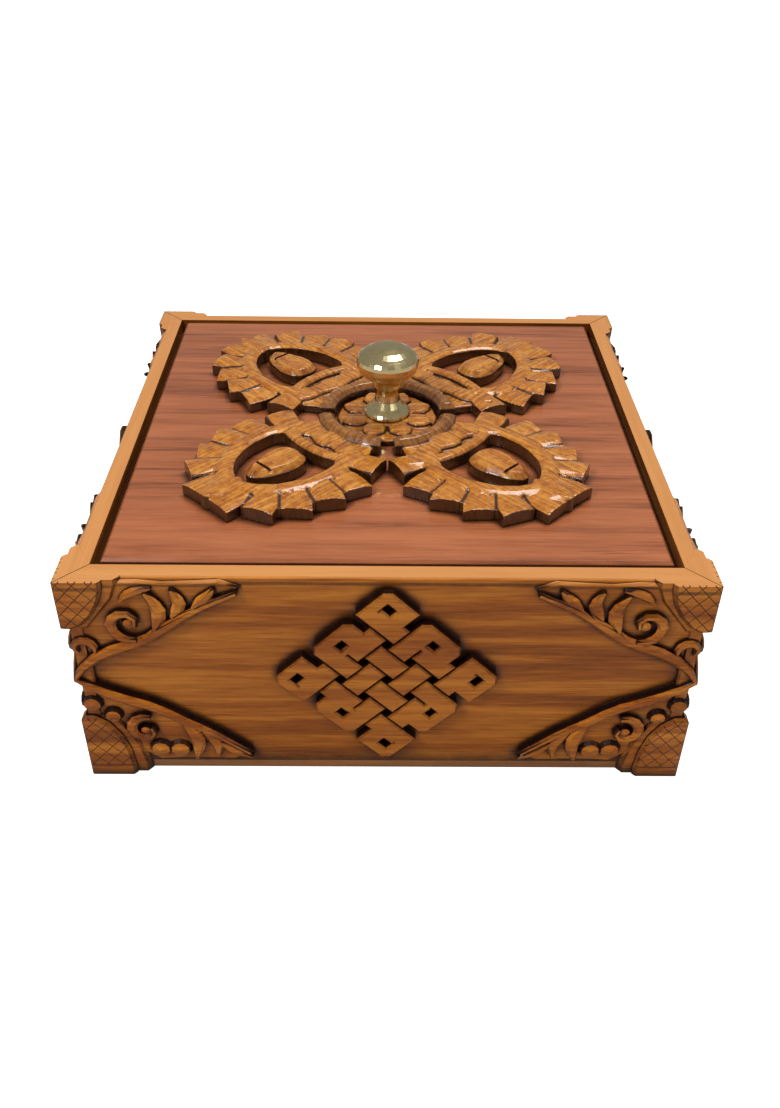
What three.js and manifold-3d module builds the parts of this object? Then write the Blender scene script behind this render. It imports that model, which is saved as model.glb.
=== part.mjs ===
// Carved wooden box for dried fruit: four mitred walls, a bottom board, lid ledges, crossed
// dividers, and a lift-off lid with a crossed vajra and a turned brass knob.
// Millimetres, +Z up, the origin at the middle of the underside, the front wall facing -Y.

import * as THREE from "three";
import { mergeVertices } from "three/addons/utils/BufferGeometryUtils.js";
import Module from "manifold-3d";

const wasm = await Module();
wasm.setup();

// Driving dimensions
const opening = 250; // inner width and depth between the walls
const body_height = 114;
const wall_thickness = 8; // wall board behind the carving
const relief = 5; // how far the carving stands out of the wall face
const fit_gap = 0.3; // clearance between pieces that touch
const rim_round = 1.6;
const carving_tolerance = 0.3; // the finest step that the carving keeps

const bottom_thickness = 4.5;
const lid_thickness = 9;
const lid_margin = 3.5; // gap between the lid and the walls
const lid_round = 1.4;
const ledge_width = 9;
const ledge_height = 10;
const divider_thickness = 5;
const divider_height = 78;

const block_width = 20; // corner bud, from the arris along the wall
const bud_height = 26;
const foot_height = 37;

const knot_pitch = 14.3; // distance between neighbouring strands
const strand_width = 9.9;
const knot_centre_height = 60.5;
const under_height = 3.4; // strand that passes below at a crossing

const ring_inner_radius = 27;
const ring_outer_radius = 35.5;
const ring_gap_angle = 0.1; // half the V cut between two ring quarters
const ring_height = 7.6;
const arm_thickness = 7.4;
const arm_rim_height = 6.8;
const fan_height = 6.6;
const fan_depth = 14.5;
const fan_bar_width = 6.5;
const fan_half_angle = 0.58;
const flame_count = 6;
const flame_width = 11.4;
const flame_spread = 4.6; // how much wider a flame is at its end
const flame_length = 17;
const flame_lean = 4; // how far a flame's end lies towards the tip of the arm
const prong_height = 8.2;

const rosette_radius = 25.5;
const rosette_height = 5;
const knob_radius = 15.5;
const knob_height = 36.5;
const knob_neck_radius = 6;
const knob_base_radius = 11.5;
const knob_bore = 2.2;
const screw_radius = 1.9;
const screw_head_radius = 4;
const screw_head_height = 2.6;
const washer_radius = 6;
const washer_thickness = 1.2;

// Values that follow from the driving dimensions
const half = opening / 2;
const total_depth = wall_thickness + relief;
const arris = half + total_depth;
const lid_half = half - lid_margin;
const lid_bottom = body_height - lid_thickness;
const floor_top = bottom_thickness + fit_gap;

const materials = {
  carved: { color: 0xa8682c, roughness: 0.32, metalness: 0 },
  plain: { color: 0xb07a4c, roughness: 0.5, metalness: 0 },
  lid: { color: 0xb4704e, roughness: 0.28, metalness: 0 },
  vajra: { color: 0xd08a3c, roughness: 0.26, metalness: 0 },
  brass: { color: 0xc9b46a, roughness: 0.24, metalness: 1 },
  steel: { color: 0x9a9a9a, roughness: 0.4, metalness: 1 },
};

// Solid operations

function toSolid(geometry) {
  const plain = geometry.clone();
  plain.deleteAttribute("normal");
  plain.deleteAttribute("uv");
  const merged = mergeVertices(plain, 1e-4);
  return new wasm.Manifold(
    new wasm.Mesh({
      numProp: 3,
      vertProperties: new Float32Array(merged.attributes.position.array),
      triVerts: new Uint32Array(merged.index.array),
    }),
  );
}

function toGeometry(solid) {
  const mesh = solid.getMesh();
  const geometry = new THREE.BufferGeometry();
  geometry.setAttribute("position", new THREE.BufferAttribute(mesh.vertProperties, 3));
  geometry.setIndex(new THREE.BufferAttribute(mesh.triVerts, 1));
  const flat = geometry.toNonIndexed();
  flat.computeVertexNormals();
  return flat;
}

function join(solids) {
  return solids.reduce((whole, solid) => whole.add(solid));
}

// The solid with facets finer than the tolerance merged into their neighbours.
function refined(solid, tolerance = carving_tolerance) {
  return solid.asOriginal().simplify(tolerance);
}

// A box between two corners.
function slab(low, high) {
  const size = high.map((value, i) => value - low[i]);
  const geometry = new THREE.BoxGeometry(...size);
  geometry.translate(...low.map((value, i) => value + size[i] / 2));
  return toSolid(geometry);
}

// An outline raised from `from` to `to`, with its top edge rounded outwards by `round`.
function raise(shape, from, to, round = 0, steps = 4) {
  const geometry = new THREE.ExtrudeGeometry(shape, {
    depth: to - from - 2 * round,
    curveSegments: steps,
    bevelEnabled: round > 0,
    bevelThickness: round,
    bevelSize: round,
    bevelOffset: -round,
    bevelSegments: 1,
  });
  geometry.translate(0, 0, from + round);
  return toSolid(geometry);
}

// The part of a raised outline that lies above `base`, its lower rounding cut away.
function raiseFlat(shape, base, top, round, steps = 4) {
  const reach = opening;
  const whole = raise(shape, base - round - 1, top, round, steps);
  return whole.intersect(slab([-reach, -reach, base], [reach, reach, top + 1]));
}

function shapeOf(points) {
  return new THREE.Shape(points.map(([x, y]) => new THREE.Vector2(x, y)));
}

// A closed smooth outline through the points.
function smoothShape(points, steps = 20) {
  const curve = new THREE.CatmullRomCurve3(
    points.map(([x, y]) => new THREE.Vector3(x, y, 0)),
    true,
    "centripetal",
  );
  return shapeOf(curve.getSpacedPoints(steps).slice(0, -1).map((p) => [p.x, p.y]));
}

// A carved band along a smooth centreline: its sides rise from `low` and its back is domed up to
// `top`. `left` and `right` give the half widths at a share of the length.
function ridge(points, left, right, low, top, steps = 12) {
  const curve = new THREE.CatmullRomCurve3(
    points.map(([x, y]) => new THREE.Vector3(x, y, 0)),
    false,
    "centripetal",
  );
  const dome = [[-1, 0], [-1, 0.6], [-0.45, 1], [0.45, 1], [1, 0.6], [1, 0]];
  const bodyLow = Math.min(1, 2.6 / (top - low));
  const rings = [];
  for (let i = 0; i <= steps; i += 1) {
    const t = i / steps;
    const p = curve.getPointAt(t);
    const d = curve.getTangentAt(t);
    rings.push(dome.map(([across, up]) => {
      const w = across < 0 ? left(t) : right(t);
      const lift = up === 0 ? 0 : 1 - (1 - up) * bodyLow;
      return [p.x + d.y * across * w, p.y - d.x * across * w, low + (top - low) * lift];
    }));
  }
  const n = dome.length;
  const corners = [];
  for (let i = 0; i < steps; i += 1) {
    for (let k = 0; k < n; k += 1) {
      const next = (k + 1) % n;
      const [a, b, c, d] = [rings[i][k], rings[i][next], rings[i + 1][next], rings[i + 1][k]];
      corners.push(a, b, c, a, c, d);
    }
  }
  for (let k = 1; k < n - 1; k += 1) {
    corners.push(rings[0][0], rings[0][k + 1], rings[0][k]);
    corners.push(rings[steps][0], rings[steps][k], rings[steps][k + 1]);
  }
  const geometry = new THREE.BufferGeometry();
  geometry.setAttribute("position", new THREE.Float32BufferAttribute(corners.flat(), 3));
  return toSolid(geometry);
}

// The half width of a brush stroke: widest at `peak` of its length, `endShare` of that at its ends.
function swell(width, endShare = 0.35, peak = 0.4) {
  return (t) => {
    const rise = t < peak ? t / peak : (1 - t) / (1 - peak);
    return (width / 2) * (endShare + (1 - endShare) * Math.sin((rise * Math.PI) / 2));
  };
}

// The winding of a volute: from its outer radius in to its eye.
function volutePoints(centre, radius, startAngle, turns, eyeShare = 0.35, count = 14) {
  const points = [];
  for (let i = 0; i <= count; i += 1) {
    const t = i / count;
    const r = radius * (1 - (1 - eyeShare) * t);
    const a = startAngle + turns * 2 * Math.PI * t;
    points.push([centre[0] + r * Math.cos(a), centre[1] + r * Math.sin(a)]);
  }
  return points;
}

function disc(centre, radius) {
  const shape = new THREE.Shape();
  shape.absarc(centre[0], centre[1], radius, 0, 2 * Math.PI, false);
  return shape;
}

// Walls. Drawn as seen from outside: X along the wall, Y up, Z outwards from the inner face.

const face = wall_thickness;
const crest = total_depth;

function reliefPiece(shape, height = relief, round = 1.6) {
  return raise(shape, face - 1 - round, face + height, round);
}

function stroke(points, width, height, endShare = 0.35, peak = 0.4, steps = 6) {
  const half_width = swell(width, endShare, peak);
  return ridge(points, half_width, half_width, face - 1, face + height, steps);
}

// A carved ball or bud on the wall, domed from the ground to `height`.
function ball(centre, radius, height = relief) {
  const profile = [[0, 0], [radius, 0], [radius, 0.4], [0.7 * radius, 0.86], [0, 1]];
  const rise = height + 1;
  const geometry = new THREE.LatheGeometry(
    profile.map(([r, z]) => new THREE.Vector2(r, z * rise)),
    10,
  );
  geometry.rotateX(Math.PI / 2);
  geometry.translate(centre[0], centre[1], face - 1);
  return toSolid(geometry);
}

function wallBoard() {
  const profile = new THREE.Shape();
  profile.moveTo(0, floor_top);
  profile.lineTo(0, body_height);
  profile.lineTo(face - rim_round, body_height);
  profile.absarc(face - rim_round, body_height - rim_round, rim_round, Math.PI / 2, 0, true);
  profile.lineTo(face, floor_top);
  const geometry = new THREE.ExtrudeGeometry(profile, {
    depth: 2 * arris,
    curveSegments: 3,
    bevelEnabled: false,
  });
  geometry.rotateY(-Math.PI / 2);
  geometry.translate(arris, 0, 0);
  return toSolid(geometry);
}

// The hanging bud at the top of a corner and the swelling foot below it, with their slopes.
function cornerBlocks() {
  const past = arris + 4;
  const inner = arris - block_width;
  const budBottom = body_height - bud_height;
  const top = body_height;
  const bud = shapeOf([
    [past, top + 4],
    [inner, top + 4],
    [inner, top - 4],
    [inner + 2, top - 11],
    [inner + 6, top - 18],
    [inner + 11, top - 23.5],
    [inner + 16, budBottom],
    [past, budBottom],
  ]);
  const budSlope = shapeOf([
    [past, top + 4],
    [inner - 7, top + 4],
    [inner - 7, top - 3],
    [inner - 4, top - 11],
    [inner + 2, top - 19],
    [inner + 9, budBottom - 2],
    [past, budBottom - 2],
  ]);
  const foot = shapeOf([
    [past, -4],
    [inner - 1, -4],
    [inner - 1, 5],
    [inner, 15],
    [inner + 3, 25],
    [inner + 8, 33],
    [inner + 14, foot_height],
    [past, foot_height],
  ]);
  const footSlope = shapeOf([
    [past, -4],
    [inner - 8, -4],
    [inner - 8, 5],
    [inner - 6, 16],
    [inner - 2, 27],
    [inner + 4, 36],
    [past, foot_height + 2],
  ]);
  const post = shapeOf([
    [past, 30],
    [arris - 9, 30],
    [arris - 9, budBottom + 2],
    [past, budBottom + 2],
  ]);
  return join([
    reliefPiece(bud, relief, 1.6),
    reliefPiece(budSlope, relief * 0.55, 2.4),
    reliefPiece(foot, relief, 1.6),
    reliefPiece(footSlope, relief * 0.55, 2.4),
    reliefPiece(post, relief * 0.45, 1),
  ]).intersect(slab([0, 0, 0], [past, body_height, crest]));
}

// Points of the carving, given as distances from the arris inwards and from the rim down, or
// from the underside up.
function fromTop(points) {
  return points.map(([inwards, down]) => [arris - inwards, body_height - down]);
}

function fromFoot(points) {
  return points.map(([inwards, up]) => [arris - inwards, up]);
}

// Scroll foliage that spreads from the waist of a corner along the top edge.
function upperScroll() {
  const stem = fromTop([
    [0, 56],
    [8, 45],
    [20, 37.5],
    [34, 32],
    [46, 23],
    [60, 13.5],
    [75, 6],
  ]);
  const ground = smoothShape(fromTop([
    [2, 52],
    [16, 38],
    [34, 31],
    [46, 22],
    [61, 13],
    [76, 7],
    [76, 2],
    [48, 2.5],
    [19, 3],
    [14, 16],
    [6, 28],
    [2, 36],
  ]), 18);
  return join([
    reliefPiece(ground, 1.6, 1),
    stroke(stem, 5.6, relief * 0.9, 0.4, 0.3, 10),
    stroke(volutePoints(fromTop([[28, 22.5]])[0], 9.2, -1.9, 0.85), 5, relief, 0.5, 0.3, 9),
    ball(fromTop([[28.6, 22.2]])[0], 3.4),
    stroke(volutePoints(fromTop([[6.5, 37]])[0], 6, 3.4, -0.7), 4.4, relief * 0.85, 0.5, 0.3, 8),
    stroke(fromTop([[39, 26], [42, 16], [37, 6]]), 6.5, relief * 0.9, 0.3),
    stroke(fromTop([[47, 19], [51, 12], [48, 4.5]]), 6, relief * 0.85, 0.3),
    stroke(fromTop([[56, 14], [62, 9], [66, 4]]), 5.4, relief * 0.8, 0.3),
    stroke(fromTop([[26, 11], [31, 7], [40, 4]]), 4.6, relief * 0.7, 0.3),
  ]);
}

// Scroll foliage that spreads from the waist of a corner along the bottom edge.
function lowerScroll() {
  const stem = fromFoot([
    [0, 60],
    [8, 54],
    [19, 48],
    [34, 42],
    [45, 34.5],
    [58, 26.5],
    [75, 13.5],
  ]);
  const ground = smoothShape(fromFoot([
    [2, 57],
    [19, 47],
    [39, 40],
    [47, 31],
    [63, 23],
    [77, 13],
    [74, 8],
    [48, 7.5],
    [26, 8],
    [24, 20],
    [18, 31],
    [2, 40],
  ]), 18);
  return join([
    reliefPiece(ground, 1.6, 1),
    stroke(stem, 5.6, relief * 0.9, 0.4, 0.3, 10),
    ball(fromFoot([[6, 44]])[0], 5.4, relief * 0.95),
    ball(fromFoot([[14.5, 37]])[0], 4.8),
    stroke(volutePoints(fromFoot([[28.5, 28.5]])[0], 8.4, 1.9, -0.9), 5, relief, 0.5, 0.3, 9),
    ball(fromFoot([[28.2, 28.2]])[0], 3.2),
    ball(fromFoot([[33.5, 15.5]])[0], 6, relief * 0.9),
    ball(fromFoot([[42.5, 15]])[0], 6, relief * 0.85),
    stroke(fromFoot([[46, 33], [51.5, 21], [50, 10]]), 7, relief * 0.9, 0.35),
    stroke(fromFoot([[54, 27], [60, 19], [60, 10.5]]), 5.6, relief * 0.8, 0.3),
    stroke(fromFoot([[61, 20], [69, 13], [76, 10]]), 4.6, relief * 0.75, 0.35),
  ]);
}

// The endless knot: four strands each way, over and under in turn, closed by four corner
// loops and four side loops. Drawn upright, then turned by an eighth of a turn.
function endlessKnot() {
  const lines = [-1.5, -0.5, 0.5, 1.5].map((step) => step * knot_pitch);
  const w = strand_width / 2;
  const reach = lines[3] + w;
  const top = face + relief;
  const under = face + under_height;
  const pieces = [];
  const bar = (x0, x1, y0, y1, height, round = 0.8) => {
    const shape = shapeOf([[x0, y0], [x1, y0], [x1, y1], [x0, y1]]);
    pieces.push(raise(shape, face - 1.8, height, round));
  };
  const loop = (outer, hole) => {
    const shape = shapeOf(outer);
    shape.holes.push(new THREE.Path(hole.map(([x, y]) => new THREE.Vector2(x, y))));
    pieces.push(raise(shape, face - 1.8, top, 0.8));
  };
  for (const line of lines) {
    bar(line - w, line + w, -reach, reach, under, 0);
    bar(-reach, reach, line - w, line + w, under, 0);
  }
  lines.forEach((x, i) => {
    lines.forEach((y, j) => {
      const longer = knot_pitch / 2 + 1.6;
      if ((i + j) % 2 === 0) bar(x - w, x + w, y - longer, y + longer, top);
      else bar(x - longer, x + longer, y - w, y + w, top);
    });
  });
  const side = lines[2] + w;
  const far = reach + strand_width - 0.6;
  const hole = lines[2] - w;
  const cut = 3;
  for (let quarter = 0; quarter < 4; quarter += 1) {
    const c = [1, 0, -1, 0][quarter];
    const s = [0, 1, 0, -1][quarter];
    const turn = ([x, y]) => [x * c - y * s, x * s + y * c];
    const sideOutline = [
      [-side, reach - 4],
      [side, reach - 4],
      [side, far - cut],
      [side - cut, far],
      [cut - side, far],
      [-side, far - cut],
    ];
    const sideHole = [
      [-hole, reach - 0.4],
      [-hole, far - strand_width + 4],
      [hole, far - strand_width + 4],
      [hole, reach - 0.4],
    ];
    loop(sideOutline.map(turn), sideHole.map(turn));
    const near = lines[3] - w;
    const cornerOutline = [
      [near, near],
      [far, near],
      [far, far - cut],
      [far - cut, far],
      [near, far],
    ];
    const a = lines[3] + w - 1.4;
    const b = a + 5.2;
    loop(cornerOutline.map(turn), [[a, a], [a, b], [b, b], [b, a]].map(turn));
  }
  const geometry = toGeometry(join(pieces));
  geometry.rotateZ(Math.PI / 4);
  geometry.translate(0, knot_centre_height, 0);
  return toSolid(geometry);
}

// The solid reflected across the plane where the given axis (0 for X, 1 for Y) is zero.
function mirrored(solid, axis = 0) {
  const geometry = toGeometry(solid);
  const position = geometry.attributes.position;
  for (let i = 0; i < position.count; i += 3) {
    const triangle = [0, 1, 2].map((k) => {
      const point = [position.getX(i + k), position.getY(i + k), position.getZ(i + k)];
      point[axis] *= -1;
      return point;
    });
    position.setXYZ(i, ...triangle[0]);
    position.setXYZ(i + 1, ...triangle[2]);
    position.setXYZ(i + 2, ...triangle[1]);
  }
  return toSolid(geometry);
}

// The mitred outline that one wall may fill, seen from above.
function mitreWedge() {
  const back = (fit_gap / 2) * Math.SQRT2;
  const past = total_depth + 2;
  const plan = shapeOf([
    [-half + 2 + back, -2],
    [half - 2 - back, -2],
    [half + past - back, past],
    [-half - past + back, past],
  ]);
  const geometry = new THREE.ExtrudeGeometry(plan, { depth: body_height + 8, bevelEnabled: false });
  geometry.rotateX(-Math.PI / 2);
  geometry.rotateY(Math.PI);
  geometry.translate(0, -4, 0);
  return toSolid(geometry);
}

function carvedWall() {
  const corner = join([cornerBlocks(), upperScroll(), lowerScroll()]);
  const carving = join([corner, mirrored(corner), endlessKnot()]);
  const limit = slab([-arris, 0, 0], [arris, body_height, crest]);
  const bottomSeat = slab([-arris - 1, -1, -1], [arris + 1, floor_top, face]);
  const wall = wallBoard().add(carving.intersect(limit)).subtract(bottomSeat);
  return refined(wall.intersect(mitreWedge()));
}

// Lid carving. One arm is drawn along +X from the middle of the lid, Z up from the lid face.

function polar(radius, angle) {
  return [radius * Math.cos(angle), radius * Math.sin(angle)];
}

function ringQuarter() {
  const a = Math.PI / 4 - ring_gap_angle;
  const shape = new THREE.Shape();
  shape.absarc(0, 0, ring_outer_radius, -a, a, false);
  shape.absarc(0, 0, ring_inner_radius, a, -a, true);
  const round = 0.3 * (ring_outer_radius - ring_inner_radius);
  return raiseFlat(shape, 0, ring_height, round, 8);
}

// A point of the arm: its distance outwards from the ring, and sideways from the arm's middle.
function armPoint([outwards, sideways]) {
  return [ring_outer_radius + outwards, sideways];
}

// Two lotus petals on the ring, and the arc-shaped bar that closes the fan.
function fan() {
  const inner = ring_outer_radius + fan_depth;
  const outer = inner + fan_bar_width;
  const seat = new THREE.Shape();
  seat.absarc(0, 0, inner + 1, -fan_half_angle, fan_half_angle, false);
  seat.absarc(0, 0, ring_outer_radius - 2, fan_half_angle, -fan_half_angle, true);
  const bar = new THREE.Shape();
  bar.absarc(0, 0, outer, -fan_half_angle - 0.05, fan_half_angle + 0.05, false);
  bar.absarc(0, 0, inner, fan_half_angle + 0.05, -fan_half_angle - 0.05, true);
  const petal = [
    [-1.2, 1], [1.5, 9], [2, 20], [7, 26], [11, 22], [12.4, 13], [10, 7], [13, 2], [12.6, 0.6],
  ];
  const petals = smoothShape([
    ...petal,
    ...petal.map(([outwards, sideways]) => [outwards, -sideways]).reverse(),
  ].map(armPoint), 30);
  return join([
    raiseFlat(seat, 0, fan_height - 2.4, 0.8, 6),
    raiseFlat(bar, 0, fan_height + 0.6, 1.4, 6),
    raiseFlat(petals, 0, fan_height, 1.2),
  ]);
}

// The two side prongs: a smooth rim that springs from the fan and closes in a loop at the tip,
// and along its outside the flames, each a blunt tongue that leans towards the tip.
function sideProngs() {
  const rim = [
    [11, 18], [20, 24.5], [32, 25.5], [44, 23], [55, 17], [62.5, 8.5], [65.5, 0], [66, -4],
  ].map(armPoint);
  const upper = ridge(rim, () => 4.2, () => 4.2, 0, arm_thickness, 22);
  const curve = new THREE.CatmullRomCurve3(
    rim.map(([x, y]) => new THREE.Vector3(x, y, 0)),
    false,
    "centripetal",
  );
  const pieces = [upper];
  const width = (share) => (flame_width + flame_spread * share) / 2;
  for (let i = 0; i < flame_count; i += 1) {
    const t = 0.06 + (0.8 * i) / (flame_count - 1);
    const p = curve.getPointAt(t);
    const d = curve.getTangentAt(t);
    const along = ([outwards, forward]) => [
      p.x - d.y * outwards + d.x * forward,
      p.y + d.x * outwards + d.y * forward,
    ];
    const flame = [[-1, -1.5], [8, 0], [flame_length, flame_lean]].map(along);
    const height = arm_rim_height - (i % 2) * 0.7;
    pieces.push(ridge(flame, width, width, 0, height, 5));
  }
  const side = join(pieces);
  const point = [[60, 0], [70, 0], [82, 0]].map(armPoint);
  const tip = ridge(point, swell(17, 0.15), swell(17, 0.15), 0, arm_thickness, 8);
  return join([side, mirrored(side, 1), tip]);
}

function vajraArm() {
  return refined(join([ringQuarter(), fan(), sideProngs()]));
}

// The bulging middle prong that lies free inside the loop of its arm.
function middleProng() {
  const half_outline = [[24, 2], [26, 7], [31, 9.6], [38, 9.8], [45, 7.8], [50, 6.4], [56, 1.2]];
  const outline = smoothShape([
    ...half_outline,
    ...half_outline.map(([outwards, sideways]) => [outwards, -sideways]).reverse(),
  ].map(armPoint), 26);
  const body = raiseFlat(outline, 0, prong_height, 2.8, 4);
  const cut = ring_outer_radius + 47;
  const groove = slab([cut - 0.7, -12, prong_height - 1.8], [cut + 0.7, 12, prong_height + 2]);
  return refined(body.subtract(groove));
}

// Eight leaves round the knob, on a thin disc inside the ring.
function rosette() {
  const pieces = [raiseFlat(disc([0, 0], rosette_radius), 0, rosette_height - 2.4, 0.8, 10)];
  for (let i = 0; i < 8; i += 1) {
    const a = (i / 8) * 2 * Math.PI + Math.PI / 8;
    const leaf = [
      polar(7, a), polar(13, a - 0.34), polar(19, a - 0.33), polar(24.6, a),
      polar(19, a + 0.33), polar(13, a + 0.34),
    ];
    pieces.push(raiseFlat(smoothShape(leaf, 10), 0, rosette_height, 1.2, 4));
  }
  const middle = new THREE.Shape();
  middle.absarc(0, 0, knob_base_radius + 1.6, 0, 2 * Math.PI, false);
  pieces.push(raiseFlat(middle, 0, rosette_height, 0.8, 8));
  const hole = raise(disc([0, 0], screw_radius + fit_gap), -3, rosette_height + 3, 0, 6);
  return refined(join(pieces).subtract(hole));
}

// The turned knob, with the blind hole for its screw.
function knobGeometry() {
  const depth = 14;
  const profile = [
    [knob_bore, 0],
    [knob_base_radius, 0],
    [knob_base_radius, 1.4],
    [knob_base_radius - 0.8, 2.4],
    [8.2, 4.4],
    [6.5, 7.4],
    [knob_neck_radius, 11],
    [6.4, 14.4],
    [8, 17.6],
    [11, 20.6],
    [13.6, 22.6],
    [13.9, 23.8],
    [14.8, 24.4],
    [15.4, 26.4],
    [knob_radius, 28.6],
    [15.2, 30.4],
    [14.2, 31.9],
    [12, 33.6],
    [9, 35.1],
    [5, 36.1],
    [0, knob_height],
    [0, depth],
    [knob_bore, depth - 1],
    [knob_bore, 0],
  ];
  return new THREE.LatheGeometry(profile.map(([r, z]) => new THREE.Vector2(r, z)), 28);
}

function latheUp(profile, segments) {
  const geometry = new THREE.LatheGeometry(profile.map(([r, z]) => new THREE.Vector2(r, z)), segments);
  geometry.rotateX(Math.PI / 2);
  return geometry;
}

// Assembly

const group = new THREE.Group();
group.name = "dried_fruit_box";

function addNode(name, geometry, material, place = {}) {
  const mesh = new THREE.Mesh(geometry, new THREE.MeshStandardMaterial(materials[material]));
  mesh.name = name;
  if (place.turn) mesh.rotation.z = place.turn;
  if (place.lift) mesh.position.z = place.lift;
  group.add(mesh);
  return mesh;
}

const wallGeometry = toGeometry(carvedWall());
wallGeometry.rotateX(Math.PI / 2);
wallGeometry.translate(0, -half, 0);
["front_wall", "right_wall", "back_wall", "left_wall"].forEach((name, quarter) => {
  addNode(name, wallGeometry.clone(), "carved", { turn: (quarter * Math.PI) / 2 });
});

const bottomHalf = half + wall_thickness - fit_gap;
addNode(
  "bottom_board",
  toGeometry(slab([-bottomHalf, -bottomHalf, 0], [bottomHalf, bottomHalf, bottom_thickness])),
  "plain",
);

// Each ledge strip runs from its own corner to the next strip, so no two overlap.
const ledgeTop = lid_bottom - fit_gap;
const ledgeOuter = half - fit_gap;
const ledgeInner = half - ledge_width;
["ledge_front", "ledge_right", "ledge_back", "ledge_left"].forEach((name, quarter) => {
  const strip = slab(
    [-ledgeOuter, -ledgeOuter, ledgeTop - ledge_height],
    [ledgeInner - fit_gap, -ledgeInner, ledgeTop],
  );
  addNode(name, toGeometry(strip), "plain", { turn: (quarter * Math.PI) / 2 });
});

// Dividers, half-lapped where they cross.
const dividerHalf = half - fit_gap;
const dividerTop = floor_top + divider_height;
const lap = floor_top + divider_height / 2;
const slot = divider_thickness / 2 + fit_gap;
const dividerBoard = () =>
  slab(
    [-dividerHalf, -divider_thickness / 2, floor_top],
    [dividerHalf, divider_thickness / 2, dividerTop],
  );
const longDivider = dividerBoard().subtract(
  slab([-slot, -slot, lap - fit_gap / 2], [slot, slot, dividerTop + 1]),
);
const crossDivider = dividerBoard().subtract(
  slab([-slot, -slot, floor_top - 1], [slot, slot, lap + fit_gap / 2]),
);
addNode("divider_lengthwise", toGeometry(longDivider), "plain");
addNode("divider_crosswise", toGeometry(crossDivider), "plain", { turn: Math.PI / 2 });

// Lid
const lidOutline = shapeOf([
  [-lid_half, -lid_half],
  [lid_half, -lid_half],
  [lid_half, lid_half],
  [-lid_half, lid_half],
]);
const washerSeat = washer_thickness + screw_head_height + fit_gap;
const lidBoard = raise(lidOutline, lid_bottom, body_height, lid_round)
  .subtract(raise(disc([0, 0], screw_radius + fit_gap), lid_bottom - 1, body_height + 1, 0, 6))
  .subtract(raise(disc([0, 0], washer_radius + fit_gap), lid_bottom - 1, lid_bottom + washerSeat, 0, 8));
addNode("lid_board", toGeometry(lidBoard), "lid");

const carvingBase = body_height + fit_gap;
const armGeometry = toGeometry(vajraArm());
const prongGeometry = toGeometry(middleProng());
["back_right", "back_left", "front_left", "front_right"].forEach((corner, quarter) => {
  const place = { turn: Math.PI / 4 + (quarter * Math.PI) / 2, lift: carvingBase };
  addNode("vajra_arm_" + corner, armGeometry.clone(), "vajra", place);
  addNode("vajra_prong_" + corner, prongGeometry.clone(), "vajra", place);
});
addNode("vajra_rosette", toGeometry(rosette()), "vajra", { lift: carvingBase });

const knobBase = carvingBase + rosette_height + fit_gap;
const knob = knobGeometry();
knob.rotateX(Math.PI / 2);
addNode("knob", toGeometry(toSolid(knob)), "brass", { lift: knobBase });

const washerTop = lid_bottom + washerSeat - fit_gap;
const washerBottom = washerTop - washer_thickness;
const washer = latheUp(
  [
    [screw_radius + fit_gap, washerBottom],
    [washer_radius, washerBottom],
    [washer_radius, washerTop],
    [screw_radius + fit_gap, washerTop],
    [screw_radius + fit_gap, washerBottom],
  ],
  24,
);
addNode("knob_washer", toGeometry(toSolid(washer)), "steel");

const screwTop = knobBase + 11;
const headTop = washerBottom - fit_gap;
const screw = latheUp(
  [
    [0, headTop - screw_head_height + 0.6],
    [screw_head_radius * 0.7, headTop - screw_head_height + 0.6],
    [screw_head_radius, headTop - screw_head_height * 0.4],
    [screw_head_radius, headTop],
    [screw_radius, headTop],
    [screw_radius, screwTop - 1],
    [0, screwTop],
  ],
  20,
);
addNode("knob_screw", toGeometry(toSolid(screw)), "steel");

export default group;
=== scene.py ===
# %% [markdown]
# # A carved box for dried fruit
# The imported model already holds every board, ledge and carving in its real place. This lesson
# dresses it: wood grain that runs with each board, dark stain left in the carved hollows, lacquer,
# turned brass, and then the camera and the light of the photograph.

# %% Load the frame
import math
import bpy
from mathutils import Matrix, Vector


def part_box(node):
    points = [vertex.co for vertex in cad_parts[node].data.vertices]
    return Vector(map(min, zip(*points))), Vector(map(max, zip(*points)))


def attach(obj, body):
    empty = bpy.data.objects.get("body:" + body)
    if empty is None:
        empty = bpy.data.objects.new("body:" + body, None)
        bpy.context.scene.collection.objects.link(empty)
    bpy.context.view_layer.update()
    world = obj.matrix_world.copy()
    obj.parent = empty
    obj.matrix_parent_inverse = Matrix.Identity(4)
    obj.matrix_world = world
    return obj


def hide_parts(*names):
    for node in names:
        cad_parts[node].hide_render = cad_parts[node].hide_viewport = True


def deselect():
    bpy.ops.object.select_all(action="DESELECT")


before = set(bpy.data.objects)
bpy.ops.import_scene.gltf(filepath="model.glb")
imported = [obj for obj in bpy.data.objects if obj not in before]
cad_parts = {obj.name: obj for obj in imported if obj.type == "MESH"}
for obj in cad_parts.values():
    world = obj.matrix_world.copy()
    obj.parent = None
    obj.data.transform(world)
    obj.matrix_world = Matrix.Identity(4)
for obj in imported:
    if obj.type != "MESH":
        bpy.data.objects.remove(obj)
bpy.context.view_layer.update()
deselect()

# %% [markdown]
# A finish is a small tree of shader nodes. Written out link by link it is hard to read, so one
# class wraps a socket and turns plus, minus and times into Math nodes, and one method makes any
# other node from its settings and its inputs.

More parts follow.
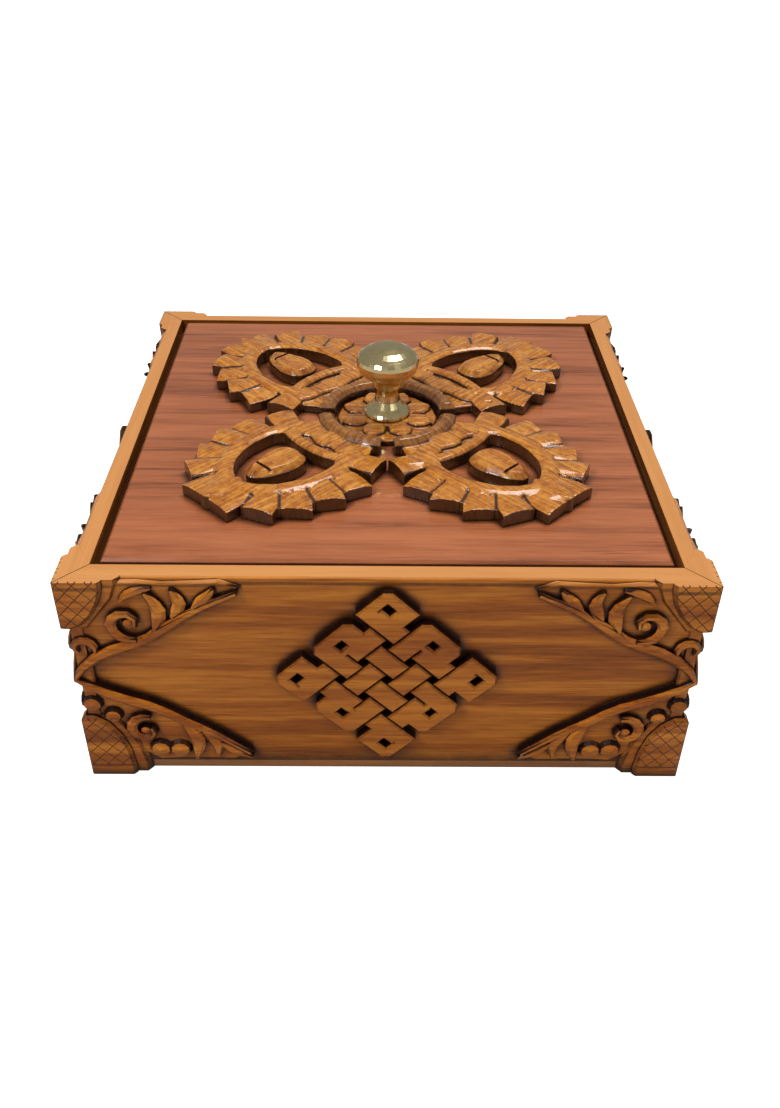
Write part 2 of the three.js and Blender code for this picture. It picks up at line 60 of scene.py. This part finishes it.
# %% Shader expressions
class Value:
    """One socket of a finish, which can be reckoned with as a number."""

    def __init__(self, finish, socket):
        self.finish = finish
        self.socket = socket

    def math(self, operation, first, second=None):
        inputs = {0: first} if second is None else {0: first, 1: second}
        return self.finish.node("ShaderNodeMath", {"operation": operation}, inputs)

    def __add__(self, other):
        return self.math("ADD", self, other)

    def __sub__(self, other):
        return self.math("SUBTRACT", self, other)

    def __rsub__(self, other):
        return self.math("SUBTRACT", other, self)

    def __mul__(self, other):
        return self.math("MULTIPLY", self, other)

    def absolute(self):
        return self.math("ABSOLUTE", self)

    def raised(self, power):
        return self.math("POWER", self, power)

    def lowest(self, other):
        return self.math("MINIMUM", self, other)

    def highest(self, other):
        return self.math("MAXIMUM", self, other)


class Finish:
    """A material and the nodes that feed its shader."""

    def __init__(self, name):
        self.material = bpy.data.materials.new(name)
        self.material.use_nodes = True
        self.tree = self.material.node_tree
        self.shader = self.tree.nodes["Principled BSDF"]
        self.place = self.node("ShaderNodeTexCoord", {}, {}, "Object")
        self.normal = self.node("ShaderNodeNewGeometry", {}, {}, "Normal")

    def plug(self, socket, value):
        if isinstance(value, Value):
            self.tree.links.new(value.socket, socket)
        else:
            socket.default_value = value

    def node(self, kind, settings, inputs, output=0):
        node = self.tree.nodes.new(kind)
        for key, value in settings.items():
            setattr(node, key, value)
        for key, value in inputs.items():
            self.plug(node.inputs[key], value)
        return Value(self, node.outputs[output])

    def ramp(self, share, stops):
        """A colour ramp; each stop is a place from 0 to 1 and a colour."""
        value = self.node("ShaderNodeValToRGB", {}, {0: share})
        elements = value.socket.node.color_ramp.elements
        while len(elements) < len(stops):
            elements.new(0.5)
        for element, (at, colour) in zip(elements, stops):
            element.position = at
            element.color = (*colour, 1)
        return value

    def step(self, value, low, high, start=0.0, end=1.0):
        """A smooth step from `start` at `low` to `end` at `high`, which may lie below `low`."""
        settings = {"interpolation_type": "SMOOTHSTEP"}
        inputs = {0: value, 1: low, 2: high, 3: start, 4: end}
        return self.node("ShaderNodeMapRange", settings, inputs)

    def above(self, value, limit, fade):
        return self.step(value, limit - fade, limit)

    def below(self, value, limit, fade):
        return self.step(value, limit + fade, limit)

    def blend(self, share, first, second):
        """The first colour where the share is 0, and the second where it is 1."""
        def colour(value):
            return value if isinstance(value, Value) else (*value, 1)

        inputs = {0: share, 6: colour(first), 7: colour(second)}
        return self.node("ShaderNodeMix", {"data_type": "RGBA"}, inputs, 2)

    def axes(self, vector):
        return [self.node("ShaderNodeSeparateXYZ", {}, {0: vector}, i) for i in range(3)]

    def noise(self, per_metre, detail, roughness=0.5, distortion=0.0, place=None):
        """Noise with so many ups and downs per metre along each axis of the place."""
        scaled = self.node("ShaderNodeVectorMath", {"operation": "MULTIPLY"},
                           {0: place or self.place, 1: per_metre})
        inputs = {"Vector": scaled, "Scale": 1.0, "Detail": detail,
                  "Roughness": roughness, "Distortion": distortion}
        return self.node("ShaderNodeTexNoise", {}, inputs)

    def hollows(self, distance):
        """1 in the open, and less where the surface is shut in within the distance."""
        settings = {"samples": 8}
        return self.node("ShaderNodeAmbientOcclusion", settings, {"Distance": distance}, "AO")

    def bump(self, height, strength, distance, under=None):
        inputs = {"Height": height, "Strength": strength, "Distance": distance}
        if under is not None:
            inputs["Normal"] = under
        return self.node("ShaderNodeBump", {}, inputs)

    def soft_edges(self, radius):
        return self.node("ShaderNodeBevel", {"samples": 6}, {"Radius": radius})

    def put(self, **values):
        for name, value in values.items():
            self.plug(self.shader.inputs[name.replace("_", " ")], value)
        return self.material


# %% [markdown]
# Wood grain is long streaks across which the colour changes quickly and along which it hardly
# changes at all. Noise stretched along the board gives them: fine pores on broad light and dark
# figure. Each board has its own grain axis, because each was cut lengthwise from a plank.

# %% Wood grain
PORES_PER_METRE = 900
FIGURE_PER_METRE = 120
PATCHES_PER_METRE = 14
ALONG_SHARE = 0.055
FIGURE_SHARE, PORE_SHARE, PATCH_SHARE = 0.62, 0.26, 0.12


def grain_factors(axis, per_metre):
    return tuple(per_metre * (ALONG_SHARE if i == axis else 1.0) for i in range(3))


def wood_tone(finish, axis, wood):
    """The grain's colour and its pores, for a wood given as its light, middle and dark colour."""
    light, middle, dark = wood
    figure = finish.noise(grain_factors(axis, FIGURE_PER_METRE), 5, 0.6, 0.4)
    pores = finish.noise(grain_factors(axis, PORES_PER_METRE), 3, 0.6)
    patches = finish.noise((PATCHES_PER_METRE,) * 3, 2)
    mix = figure * FIGURE_SHARE + pores * PORE_SHARE + patches * PATCH_SHARE
    return finish.ramp(mix, [(0.3, dark), (0.47, middle), (0.62, light)]), pores


print("grain", grain_factors(0, FIGURE_PER_METRE))

# %% [markdown]
# The walls are carved from thick boards. The carver stained the ground and the cut sides almost
# black and then rubbed the raised faces clean, so colour follows depth: a face that looks out
# stays golden, a side that looks along the wall is dark, and so are every narrow hollow and the
# ground close beside the carving. Upright faces, and more so faces that look down, also get painted
# shade.

# %% Carved wall colours and places
# Near black: the carvers' stain on the walls, and also painted shade round the lid's carving and by
# the rim.
STAIN_AND_SHADE = (0.016, 0.005, 0.003)
WALL_WOOD = (0.80, 0.27, 0.024), (0.46, 0.118, 0.006), (0.11, 0.020, 0.001)
RIM_WOOD = (0.92, 0.42, 0.14), (0.68, 0.27, 0.075)
# Painted shade: the colour that upright and downward faces of the walls are darkened towards.
UNDERSIDE_SHADE = (0.05, 0.02, 0.01)
BODY_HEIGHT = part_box("front_wall")[1][2]
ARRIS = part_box("front_wall")[1][0]
RELIEF = 0.005
WALL_FACE = ARRIS - RELIEF
RIM_DEPTH = 0.0035
CUT_SPACING = 0.0075
CUT_SLANT = 1.1
FOOT_TOP = 0.0355
FOOT_EDGE = 0.1185
FOOT_GROOVE = 0.0062
BUD_BOTTOM = 0.0895
BUD_EDGE = 0.1200
print("body height", BODY_HEIGHT, "arris", ARRIS)

# %% [markdown]
# One wall finish serves two opposite walls. Its height, its depth from the middle of the box and
# its place along the wall say where the rim, the ground, the buds and the feet are.

# %% Carved wall finish
def knife_cuts(finish, z, length, depth):
    """The crossed knife cuts on the corner buds and feet, and the groove round each foot."""
    def family(slanted):
        inputs = {0: slanted, 1: CUT_SPACING / 2}
        return finish.node("ShaderNodeMath", {"operation": "PINGPONG"}, inputs)

    nearest = family(length * CUT_SLANT + z).lowest(family(length * CUT_SLANT - z))
    crossed = finish.below(nearest, 0.0001, 0.00035)
    across_foot = finish.above(length, FOOT_EDGE, 0.002)
    foot = finish.below(z, FOOT_TOP, 0.001) * finish.above(z, FOOT_GROOVE + 0.0006, 0.0006)
    bud = finish.above(z, BUD_BOTTOM, 0.001) * finish.above(length, BUD_EDGE, 0.0015)
    groove = finish.below((z - FOOT_GROOVE).absolute(), 0.0001, 0.0004) * across_foot
    front = finish.above(depth, ARRIS - 0.0004, 0.0008)
    return (crossed * (foot * across_foot + bud)).highest(groove) * front


def carvers_stain(finish, outward, z, depth, top, uneven):
    """How much stain is left: in hollows, down the cut sides and on the ground by the carving."""
    sides = finish.step(outward, 0.93, 0.5)
    hollow = finish.step(finish.hollows(0.012), 0.93, 0.45)
    deep = finish.step(finish.hollows(0.004), 0.86, 0.5)
    ground = finish.below(depth, WALL_FACE + 0.0004, 0.0018)
    near = finish.step(finish.hollows(0.02), 0.97, 0.62) * ground
    # under_rim: a thin dark band along the wall just under the rim.
    under_rim = finish.below((z - (BODY_HEIGHT - RIM_DEPTH)).absolute(), 0.0004, 0.0012)
    inside = finish.below(depth, WALL_FACE - 0.0065, 0.002)
    stain = (sides * 0.9 * (1 - top)).highest(near * 0.85).highest(hollow * 0.88)
    stain = stain.highest(deep * 0.98).highest(under_rim * 0.55)
    return finish.step(stain + uneven * 0.35 - 0.17, 0.05, 0.95) * (1 - inside * 0.6)


def carved_finish(name, along):
    """The finish of a wall whose grain runs along the axis; the other flat axis looks out."""
    finish = Finish(name)
    out = 1 - along
    place = finish.axes(finish.place)
    normal = finish.axes(finish.normal)
    z = place[2]
    depth, length = place[out].absolute(), place[along].absolute()
    tone, pores = wood_tone(finish, along, WALL_WOOD)
    uneven = finish.noise((160, 160, 160), 3, 0.6)
    top = finish.step(normal[2], 0.55, 0.85) * finish.above(z, BODY_HEIGHT - 0.0015, 0.002)
    rim = finish.blend(finish.noise(grain_factors(along, 260), 4, 0.6), *RIM_WOOD)
    stain = carvers_stain(finish, normal[out].absolute(), z, depth, top, uneven)
    cuts = knife_cuts(finish, z, length, depth)
    # Painted shade: upright faces are darkened about a third of the way to UNDERSIDE_SHADE, and faces
    # that look down half way.
    faces_down_shade = finish.step(normal[2], 0.3, -0.2)
    colour = finish.blend(top, tone, rim)
    colour = finish.blend(stain * (1 - top), colour, STAIN_AND_SHADE)
    colour = finish.blend(cuts * 0.9, colour, STAIN_AND_SHADE)
    colour = finish.blend(faces_down_shade * 0.5, colour, UNDERSIDE_SHADE)
    rough = finish.step(pores, 0.3, 0.7, 0.24, 0.38)
    height = pores * 0.12 + uneven * 0.25 - cuts
    bump = finish.bump(height, 0.6, 0.0006, finish.soft_edges(0.0006))
    return finish.put(Base_Color=colour, Roughness=rough, Normal=bump, Coat_Weight=0.05,
                      Coat_Roughness=0.15, Specular_IOR_Level=0.16)


# %% [markdown]
# The lid board is a redder wood, sanded flat and thickly lacquered, so it mirrors the carving on
# it, and painted shade darkens it round the carving and by the rim. The bottom board, the ledges and
# the dividers are planks left nearly plain, with painted shade in their corners and joints.

# %% Lid and plain board finishes
LID_WOOD = (0.62, 0.195, 0.072), (0.47, 0.140, 0.050), (0.19, 0.046, 0.015)
LID_STREAK = (0.15, 0.045, 0.02)
LID_EDGE = (0.42, 0.13, 0.03)
# Painted shade: the colour that corners and joints of the plain planks are darkened towards.
PLAIN_CORNER_SHADE = (0.06, 0.02, 0.01)


def lid_finish():
    finish = Finish("lid_lacquer")
    upwards = finish.axes(finish.normal)[2]
    tone, pores = wood_tone(finish, 0, LID_WOOD)
    streak = finish.noise((9, 210, 30), 4, 0.65, 0.5)
    edge = finish.step(upwards, 0.75, 0.3)
    # Painted shade: the lid board darkens where the carving and the rim shut it in.
    crevice = finish.step(finish.hollows(0.006), 0.8, 0.4)
    colour = finish.blend(finish.step(streak, 0.54, 0.7) * 0.6, tone, LID_STREAK)
    colour = finish.blend(edge * 0.75, colour, LID_EDGE)
    colour = finish.blend(crevice * 0.85, colour, STAIN_AND_SHADE)
    rough = finish.step(pores, 0.3, 0.7, 0.22, 0.34)
    bump = finish.bump(pores * 0.5 + streak * 0.5, 0.25, 0.0003, finish.soft_edges(0.0006))
    return finish.put(Base_Color=colour, Roughness=rough, Normal=bump, Coat_Weight=0.35,
                      Coat_Roughness=0.07, Specular_IOR_Level=0.35)


def plain_finish(name, along, light=(0.58, 0.32, 0.15)):
    finish = Finish(name)
    middle = tuple(0.72 * c for c in light)
    dark = tuple(0.42 * c for c in light)
    tone, pores = wood_tone(finish, along, (light, middle, dark))
    # Painted shade: corners and joints where the planks meet walls, ledges and dividers are darkened.
    crevice = finish.step(finish.hollows(0.008), 0.7, 0.3)
    colour = finish.blend(crevice * 0.6, tone, PLAIN_CORNER_SHADE)
    rough = finish.step(pores, 0.3, 0.7, 0.42, 0.6)
    bump = finish.bump(pores, 0.3, 0.0003, finish.soft_edges(0.0005))
    return finish.put(Base_Color=colour, Roughness=rough, Normal=bump)


# %% [markdown]
# The crossed vajra was sawn from a bright wood, carved, stained down its sides and lacquered on
# top. The ring is stained darker. Flames stand along the outside of each side prong, and a dark
# knife cut parts each from the next: it starts on the rim and leans towards the tip as they do.

# %% Flames of the vajra
RING_INNER = 0.0268
RING_OUTER = 0.0361
RIM_START = 0.0355
RIM_STEPS_MM = (11, 18), (20, 24.5), (32, 25.5), (44, 23), (55, 17), (62.5, 8.5), (65.5, 0), (66, -4)
RIM_POINTS = [Vector((RIM_START + out / 1000, side / 1000)) for out, side in RIM_STEPS_MM]
FIRST_CUT = 0.14
CUT_STEP = 0.16
CUT_COUNT = 5
FLAME_LENGTH = 0.017
FLAME_LEAN = 0.004
print("rim of a side prong", len(RIM_POINTS), "points")


def rim_place(share):
    """The point of the rim at a share of its length, and the way the rim runs there."""
    legs = list(zip(RIM_POINTS, RIM_POINTS[1:]))
    left = share * sum((b - a).length for a, b in legs)
    for a, b in legs:
        if left <= (b - a).length:
            break
        left -= (b - a).length
    way = (b - a).normalized()
    return a + way * left, way


def flame_cuts(finish, x, side):
    """The knife cuts that part one flame from the next."""
    cuts = []
    for i in range(CUT_COUNT):
        start, way = rim_place(FIRST_CUT + CUT_STEP * i)
        outwards = Vector((-way.y, way.x))
        line = (outwards * FLAME_LENGTH + way * FLAME_LEAN).normalized()
        off = ((x - start.x) * -line.y + (side - start.y) * line.x).absolute()
        reach = (x - start.x) * outwards.x + (side - start.y) * outwards.y
        cuts.append(finish.below(off, 0.0003, 0.0008) * finish.above(reach, 0.0044, 0.0018))
    return sum(cuts[1:], cuts[0])


# %% [markdown]
# The wood's streaks run along each arm, so the finish is turned with the arm. Stain lies down the
# sides, in the crevices and in the knife cuts, and the lacquer over it is thick and glossy.

# %% Vajra finish
VAJRA_WOOD = (0.86, 0.37, 0.05), (0.60, 0.19, 0.012), (0.28, 0.065, 0.004)
RING_STAIN = (0.045, 0.017, 0.012)
SIDE_STAIN = (0.022, 0.007, 0.004)


def vajra_finish(name, turn):
    """The finish of the carving that points along the turn, seen from above."""
    finish = Finish(name)
    local = finish.node("ShaderNodeVectorRotate", {"rotation_type": "Z_AXIS"},
                        {"Vector": finish.place, "Angle": -turn})
    x, y = finish.axes(local)[:2]
    upwards = finish.axes(finish.normal)[2]
    tone = finish.noise((300, 300, 60), 4, 0.6, 0.6)
    streak = finish.noise((40, 620, 200), 4, place=local)
    light, middle, dark = VAJRA_WOOD
    colour = finish.ramp(tone * 0.45 + streak * 0.55, [(0.33, dark), (0.48, middle), (0.63, light)])
    radius = (x * x + y * y).raised(0.5)
    ring = finish.below(radius, RING_OUTER - 0.0008, 0.0008) * finish.above(radius, RING_INNER, 0.0008)
    sides = finish.step(upwards, 0.84, 0.4)
    crevice = finish.step(finish.hollows(0.005), 0.85, 0.45)
    cuts = flame_cuts(finish, x, y.absolute())
    colour = finish.blend(ring * 0.45, colour, RING_STAIN)
    colour = finish.blend(sides.highest(crevice).highest(cuts) * 0.93, colour, SIDE_STAIN)
    rough = finish.step(streak, 0.3, 0.7, 0.18, 0.32)
    bump = finish.bump(streak * 0.4 + tone * 0.4 - cuts * 2.0, 0.5, 0.0006)
    return finish.put(Base_Color=colour, Roughness=rough, Normal=bump, Coat_Weight=0.6,
                      Coat_Roughness=0.08, IOR=1.5)


# %% [markdown]
# The knob is turned brass: fine rings from the tool run round it, and it is a little darker where
# fingers do not polish it. The screw and washer under the lid are plain steel.

# %% Metal finishes
def metal_finish(name, bright, dull, rough_low, rough_high):
    finish = Finish(name)
    rings = finish.noise((6, 6, 2600), 2)
    tarnish = finish.noise((220, 220, 220), 4, 0.6)
    crevice = finish.step(finish.hollows(0.006), 0.7, 0.3)
    share = (finish.step(tarnish, 0.45, 0.75) * 0.35).highest(crevice * 0.8)
    colour = finish.blend(share, bright, dull)
    rough = finish.step(rings * 0.5 + tarnish * 0.5, 0.3, 0.7, rough_low, rough_high)
    bump = finish.bump(rings, 0.12, 0.0002)
    return finish.put(Base_Color=colour, Roughness=rough, Metallic=1.0, Normal=bump)


# %% [markdown]
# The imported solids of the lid's carving have sawn facets. A carver's gouge leaves no facet: every
# edge is eased a little and each hollow runs softly into the next. Rounding thousands of edges one
# by one would take days, so a copy of each carved solid is merged, filled with voxels finer than
# the narrowest cut, smoothed, and thinned again where it is flat. The copy stands for the solid.

# %% Ease the carving
VOXEL = 0.00045
SMOOTHING = 0.5
SMOOTHING_ROUNDS = 2
KEPT_FACES = 0.4
MERGE_DISTANCE = 1e-6
SHARP_ANGLE = math.radians(50)


def apply_modifier(piece, kind, **settings):
    modifier = piece.modifiers.new(kind.lower(), kind)
    for key, value in settings.items():
        setattr(modifier, key, value)
    bpy.ops.object.modifier_apply(modifier=modifier.name)


def eased(node):
    """A softened copy of a node of the lid, which replaces it."""
    source = bpy.data.objects[node]
    piece = source.copy()
    piece.data = source.data.copy()
    piece.parent = None
    piece.name = node + "_carved"
    bpy.context.collection.objects.link(piece)
    deselect()
    piece.select_set(True)
    bpy.context.view_layer.objects.active = piece
    bpy.ops.object.mode_set(mode="EDIT")
    bpy.ops.mesh.select_all(action="SELECT")
    bpy.ops.mesh.remove_doubles(threshold=MERGE_DISTANCE)
    bpy.ops.object.mode_set(mode="OBJECT")
    apply_modifier(piece, "REMESH", mode="VOXEL", voxel_size=VOXEL)
    apply_modifier(piece, "SMOOTH", factor=SMOOTHING, iterations=SMOOTHING_ROUNDS)
    apply_modifier(piece, "DECIMATE", ratio=KEPT_FACES)
    bpy.ops.object.shade_smooth_by_angle(angle=SHARP_ANGLE)
    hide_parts(node)
    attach(piece, "lid")
    print(piece.name, len(piece.data.polygons), "faces")
    return piece


# %% [markdown]
# Each node takes its finish by name. A board's grain runs the way the board is long, and each arm
# of the vajra has its finish turned with it. The carved nodes of the lid are eased as they are met.

# %% Give each node its finish
along_x = carved_finish("carved_wall_x", 0)
along_y = carved_finish("carved_wall_y", 1)
plain_x = plain_finish("plain_board_x", 0)
plain_y = plain_finish("plain_board_y", 1)
brass = metal_finish("turned_brass", (0.80, 0.66, 0.34), (0.34, 0.22, 0.07), 0.16, 0.26)
steel = metal_finish("plain_steel", (0.62, 0.62, 0.62), (0.28, 0.26, 0.24), 0.3, 0.45)
finishes = {
    "front_wall": along_x,
    "back_wall": along_x,
    "left_wall": along_y,
    "right_wall": along_y,
    "bottom_board": plain_finish("bottom_plank", 0, (0.40, 0.15, 0.03)),
    "ledge_front": plain_x,
    "ledge_back": plain_x,
    "ledge_left": plain_y,
    "ledge_right": plain_y,
    "divider_lengthwise": plain_x,
    "divider_crosswise": plain_y,
    "lid_board": lid_finish(),
    "vajra_rosette": vajra_finish("vajra_middle", 0.0),
    "knob": brass,
    "knob_washer": steel,
    "knob_screw": steel,
}
for quarter, corner in enumerate(("back_right", "back_left", "front_left", "front_right")):
    finish = vajra_finish("vajra_" + corner, math.radians(45 + 90 * quarter))
    finishes["vajra_arm_" + corner] = finish
    finishes["vajra_prong_" + corner] = finish
for name, material in finishes.items():
    for slot in bpy.data.objects[name].material_slots:
        slot.material = material
    if name.startswith("vajra"):
        eased(name)
print("finished", len(finishes), "nodes")

# %% [markdown]
# The photograph was taken a little from above the middle of the front. Its lens and place were
# worked out from the edges of the box: a fixed frame 780 wide and 1108 high, in which the long
# side sees 36 mm of sensor.

# %% Camera
FOCAL_PIXELS = 1042.5
FRAME_HEIGHT_PIXELS = 1108
SENSOR_MM = 36
YAW, PITCH, ROLL = 0.0148, 0.6308, 0.0152
EYE = Vector((-0.00446, -0.475136, 0.376021))

flat = math.cos(PITCH)
forward = Vector((math.sin(YAW) * flat, math.cos(YAW) * flat, -math.sin(PITCH)))
level = Vector((math.cos(YAW), -math.sin(YAW), 0))
above = level.cross(forward)
right = level * math.cos(ROLL) + above * math.sin(ROLL)
up = above * math.cos(ROLL) - level * math.sin(ROLL)
camera_data = bpy.data.cameras.new("camera")
camera_data.sensor_width = SENSOR_MM
camera_data.lens = FOCAL_PIXELS * SENSOR_MM / FRAME_HEIGHT_PIXELS
camera_data.clip_start = 0.01
camera = bpy.data.objects.new("camera", camera_data)
bpy.context.collection.objects.link(camera)
turn = Matrix((right, up, -forward)).transposed().to_4x4()
camera.matrix_world = Matrix.Translation(EYE) @ turn
bpy.context.scene.camera = camera
print("lens", camera_data.lens)

# %% [markdown]
# Studio light: a lamp from the front left, one high over the lid, and a weak fill from the right.
# They aim at the middle of the box, and an even white sky lifts the shadows.

# %% Lamps and sky
SKY_STRENGTH = 0.27
WHITE = (1, 1, 1, 1)


def lamp(name, place, aim_height, size, power):
    data = bpy.data.lights.new(name, "AREA")
    data.shape = "DISK"
    data.size = size
    data.energy = power
    holder = bpy.data.objects.new(name, data)
    bpy.context.collection.objects.link(holder)
    place = Vector(place)
    turn = (Vector((0, 0, aim_height)) - place).to_track_quat("-Z", "Y")
    holder.matrix_world = Matrix.Translation(place) @ turn.to_matrix().to_4x4()
    print(name, power, "W")


lamp("key_lamp", (-0.7, -0.75, 1.1), aim_height=0.06, size=0.35, power=7)
lamp("top_lamp", (0.3, 0.3, 1.4), aim_height=0.1, size=0.6, power=7.5)
lamp("fill_lamp", (0.9, -0.9, 0.55), aim_height=0.06, size=0.8, power=1.7)

world = bpy.data.worlds.new("studio")
bpy.context.scene.world = world
world.use_nodes = True
nodes, links = world.node_tree.nodes, world.node_tree.links
sky = nodes["Background"]
sky.inputs["Color"].default_value = WHITE
sky.inputs["Strength"].default_value = SKY_STRENGTH
plain_white = nodes.new("ShaderNodeBackground")
plain_white.inputs["Color"].default_value = WHITE
rays = nodes.new("ShaderNodeLightPath")
seen = nodes.new("ShaderNodeMath")
seen.operation = "MAXIMUM"
links.new(rays.outputs["Is Camera Ray"], seen.inputs[0])
links.new(rays.outputs["Is Transmission Ray"], seen.inputs[1])
pick = nodes.new("ShaderNodeMixShader")
links.new(seen.outputs[0], pick.inputs[0])
links.new(sky.outputs[0], pick.inputs[1])
links.new(plain_white.outputs[0], pick.inputs[2])
links.new(pick.outputs[0], nodes["World Output"].inputs["Surface"])

# %% [markdown]
# The floor is a sheet of white paper. It glows a little to the camera alone, so that it is as
# white as the background and still keeps the box's shadow.

# %% Floor
FLOOR_SIZE = 6
FLOOR_HEIGHT = -0.0004
PAPER_GLOW = 0.85
PAPER_DIM, PAPER_BRIGHT = (0.86, 0.86, 0.86), (0.9, 0.9, 0.9)

deselect()
bpy.ops.mesh.primitive_plane_add(size=FLOOR_SIZE, location=(0, 0, FLOOR_HEIGHT))
floor = bpy.context.object
floor.name = "floor"
paper = Finish("white_paper")
fibres = paper.noise((60, 60, 60), 3)
paper.put(Base_Color=paper.blend(fibres, PAPER_DIM, PAPER_BRIGHT), Roughness=0.9)
to_camera = paper.node("ShaderNodeLightPath", {}, {}, "Is Camera Ray")
glow = paper.node("ShaderNodeEmission", {}, {"Color": WHITE, "Strength": to_camera * PAPER_GLOW})
lit = Value(paper, paper.shader.outputs[0])
total = paper.node("ShaderNodeAddShader", {}, {0: lit, 1: glow})
paper.tree.links.new(total.socket, paper.tree.nodes["Material Output"].inputs["Surface"])
floor.data.materials.append(paper.material)
bpy.context.scene.view_settings.view_transform = "Standard"
print("floor", FLOOR_SIZE, "m wide")
